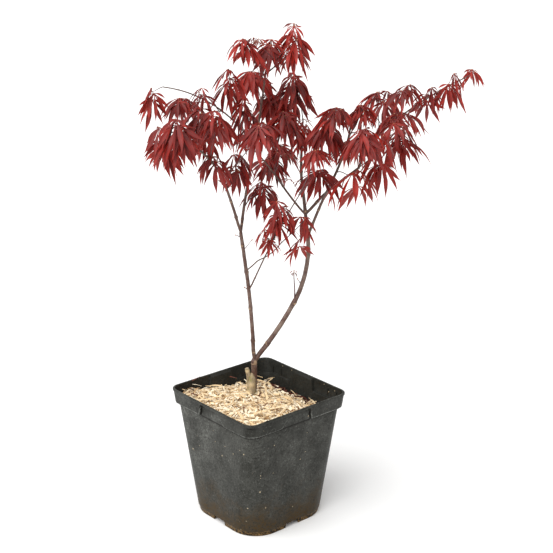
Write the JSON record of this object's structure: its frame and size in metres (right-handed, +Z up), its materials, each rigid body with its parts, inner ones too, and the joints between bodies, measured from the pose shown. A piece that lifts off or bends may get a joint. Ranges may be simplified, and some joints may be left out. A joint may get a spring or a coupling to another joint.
{
  "type": "potted japanese maple tree with cut red leaves",
  "caption": "Young two-stemmed maple with drooping, deeply cut dark red leaves, grafted low and growing in a square black nursery pot mulched with wood shavings.",
  "frame": {"origin": "centre of the pot's flat underside, on the surface it stands on", "axes": "+Z up; X and Y along the square pot's sides; the tree's main spread runs across a corner, from -X+Y to +X-Y"},
  "size_m": [0.5138, 0.3896, 0.8612],
  "materials": {
    "pot": "matt injection-moulded polypropylene, dusty",
    "compost": "damp composted bark and peat",
    "mulch": "dry pale wood shavings",
    "trunk": "pale, finely cracked bark",
    "limb": "smooth purple-brown bark with a grey bloom",
    "foliage": "thin soft leaves, satin above"
  },
  "bodies": {
    "root": {"pot": "pot", "compost": "compost", "mulch": "mulch", "trunk": "trunk", "left_stem": "limb", "right_stem": "limb", "left_low_bough": "limb", "left_leader": "limb", "far_left_bough": "limb", "top_shoot": "limb", "right_upper_bough": "limb", "right_front_bough": "limb", "right_long_bough": "limb", "right_long_tip": "limb", "back_bough": "limb", "low_shoot": "limb", "inner_shoot": "limb", "foliage_tip": "foliage", "foliage_top": "foliage", "foliage_upper": "foliage", "foliage_upper_left": "foliage", "foliage_high_left": "foliage", "foliage_high_back": "foliage", "foliage_leader": "foliage", "foliage_centre_back": "foliage", "foliage_grey": "foliage", "foliage_low_centre": "foliage", "foliage_hanging": "foliage", "foliage_shoulder": "foliage", "foliage_bough_end": "foliage", "foliage_centre": "foliage", "foliage_right_crest": "foliage", "foliage_right_fan": "foliage", "foliage_right_face": "foliage", "foliage_centre_right": "foliage", "foliage_right_under": "foliage", "foliage_front_right": "foliage", "foliage_front_low": "foliage", "foliage_stem": "foliage", "foliage_inner_right": "foliage", "foliage_long_end": "foliage", "foliage_long_outer": "foliage", "foliage_long_inner": "foliage", "foliage_arch_front": "foliage", "foliage_right_edge": "foliage", "foliage_arch": "foliage", "foliage_right_back": "foliage", "foliage_far_left": "foliage", "foliage_left_arch": "foliage", "foliage_left_back": "foliage", "foliage_left_inner": "foliage", "foliage_left_face": "foliage", "foliage_left_edge": "foliage", "foliage_left_front": "foliage", "foliage_left_low": "foliage", "foliage_far_back": "foliage", "foliage_low_back": "foliage", "foliage_inner": "foliage", "foliage_inner_end": "foliage", "foliage_low": "foliage"}
  },
  "joints": []
}
